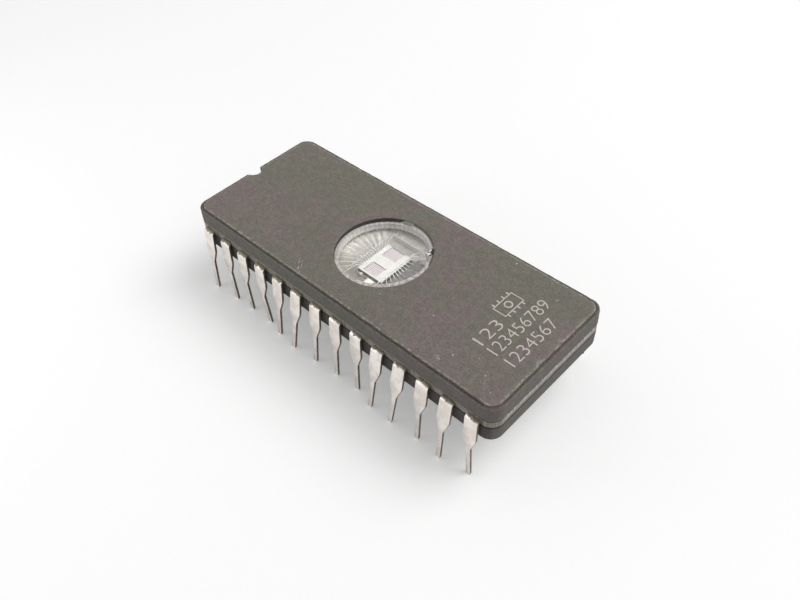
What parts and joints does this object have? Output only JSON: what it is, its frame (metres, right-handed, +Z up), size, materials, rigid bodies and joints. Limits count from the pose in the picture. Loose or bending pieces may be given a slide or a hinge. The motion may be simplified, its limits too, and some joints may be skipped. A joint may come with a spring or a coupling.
{
  "type": "windowed memory chip",
  "caption": "Ceramic dual in-line memory chip with a clear round window over its die and two rows of tinned leads.",
  "frame": {"origin": "on the surface that the lead tips stand on, under the middle of the package", "axes": "+X along the package away from the index notch, +Z up out of the window"},
  "size_m": [0.0368, 0.0172, 0.0092],
  "materials": {
    "cap_ceramic": "matt pressed alumina",
    "base_ceramic": "matt pressed alumina",
    "sealing_glass": "satin solder glass",
    "window_glass": "clear polished",
    "seal_ring_glass": "clear fused glass",
    "silicon": "polished silicon",
    "die_paste": "silver filled glass",
    "plated_block": "matt gold plate",
    "wire_aluminium": "bright drawn wire",
    "lead_tin": "satin tin plate"
  },
  "bodies": {
    "root": {"ceramic_cap": "cap_ceramic", "ceramic_base": "base_ceramic", "sealing_glass": "sealing_glass", "window_lens": "window_glass", "window_seal": "seal_ring_glass", "die": "silicon", "die_attach": "die_paste", "ground_block": "plated_block", "bond_wires_left": "wire_aluminium", "bond_wires_right": "wire_aluminium", "lead_01": "lead_tin", "lead_02": "lead_tin", "lead_03": "lead_tin", "lead_04": "lead_tin", "lead_05": "lead_tin", "lead_06": "lead_tin", "lead_07": "lead_tin", "lead_08": "lead_tin", "lead_09": "lead_tin", "lead_10": "lead_tin", "lead_11": "lead_tin", "lead_12": "lead_tin", "lead_13": "lead_tin", "lead_14": "lead_tin", "lead_15": "lead_tin", "lead_16": "lead_tin", "lead_17": "lead_tin", "lead_18": "lead_tin", "lead_19": "lead_tin", "lead_20": "lead_tin", "lead_21": "lead_tin", "lead_22": "lead_tin", "lead_23": "lead_tin", "lead_24": "lead_tin", "lead_25": "lead_tin", "lead_26": "lead_tin", "lead_27": "lead_tin", "lead_28": "lead_tin"}
  },
  "joints": []
}
